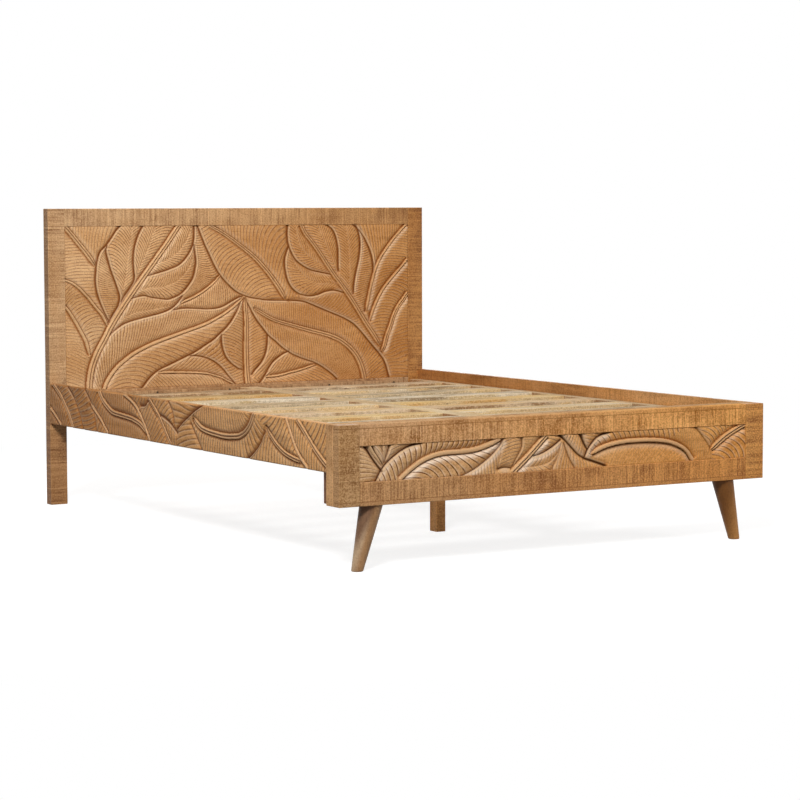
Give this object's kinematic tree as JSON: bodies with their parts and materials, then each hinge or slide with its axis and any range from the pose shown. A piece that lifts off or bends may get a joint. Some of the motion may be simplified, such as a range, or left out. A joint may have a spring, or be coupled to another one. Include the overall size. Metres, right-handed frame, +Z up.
{
  "type": "carved bed",
  "caption": "Low bed frame in carved wood: framed headboard and footboard with leaf relief panels, carved side rails, a slatted base and splayed round legs.",
  "frame": {"origin": "on the floor under the middle of the bed's outline", "axes": "+Z up, +Y from the foot to the head, +X to the right of someone at the foot facing the head"},
  "size_m": [1.6, 2.1763, 1.085],
  "materials": {
    "honey_frame_wood": "honey-brown stained wood with cross saw marks, dull wax",
    "honey_carved_wood": "honey-brown stained wood, carved, darker in the grooves",
    "raw_slat_wood": "bare pale wood with grey and yellow streaks",
    "leg_wood": "brown stained turned wood, dull wax",
    "zinc_steel": "zinc-plated steel"
  },
  "bodies": {
    "root": {"centre_beam": "raw_slat_wood", "centre_leg": "leg_wood", "foot_back_board": "honey_frame_wood", "foot_beam_hanger": "zinc_steel", "foot_bolt_lower_left": "zinc_steel", "foot_bolt_lower_right": "zinc_steel", "foot_bolt_upper_left": "zinc_steel", "foot_bolt_upper_right": "zinc_steel", "foot_bottom_rail": "honey_frame_wood", "foot_cleat": "honey_frame_wood", "foot_corner_block_left": "honey_frame_wood", "foot_corner_block_right": "honey_frame_wood", "foot_panel": "honey_carved_wood", "foot_stile_left": "honey_frame_wood", "foot_stile_right": "honey_frame_wood", "foot_top_rail": "honey_frame_wood", "front_leg_left": "leg_wood", "front_leg_right": "leg_wood", "head_beam_hanger": "zinc_steel", "head_bolt_lower_left": "zinc_steel", "head_bolt_lower_right": "zinc_steel", "head_bolt_upper_left": "zinc_steel", "head_bolt_upper_right": "zinc_steel", "head_bottom_rail": "honey_frame_wood", "head_bracket_left": "zinc_steel", "head_bracket_right": "zinc_steel", "head_cleat": "honey_frame_wood", "head_panel": "honey_carved_wood", "head_post_left": "honey_frame_wood", "head_post_right": "honey_frame_wood", "head_top_rail": "honey_frame_wood", "leg_stud_left": "zinc_steel", "leg_stud_right": "zinc_steel", "side_rail_left": "honey_carved_wood", "side_rail_right": "honey_carved_wood", "slat_batten_inner_left": "raw_slat_wood", "slat_batten_inner_right": "raw_slat_wood", "slat_batten_outer_left": "raw_slat_wood", "slat_batten_outer_right": "raw_slat_wood", "slat_ledger_left": "raw_slat_wood", "slat_ledger_right": "raw_slat_wood", "slat_left_1": "raw_slat_wood", "slat_left_2": "raw_slat_wood", "slat_left_3": "raw_slat_wood", "slat_left_4": "raw_slat_wood", "slat_left_5": "raw_slat_wood", "slat_left_6": "raw_slat_wood", "slat_left_7": "raw_slat_wood", "slat_left_8": "raw_slat_wood", "slat_left_9": "raw_slat_wood", "slat_right_1": "raw_slat_wood", "slat_right_2": "raw_slat_wood", "slat_right_3": "raw_slat_wood", "slat_right_4": "raw_slat_wood", "slat_right_5": "raw_slat_wood", "slat_right_6": "raw_slat_wood", "slat_right_7": "raw_slat_wood", "slat_right_8": "raw_slat_wood", "slat_right_9": "raw_slat_wood"}
  },
  "joints": []
}
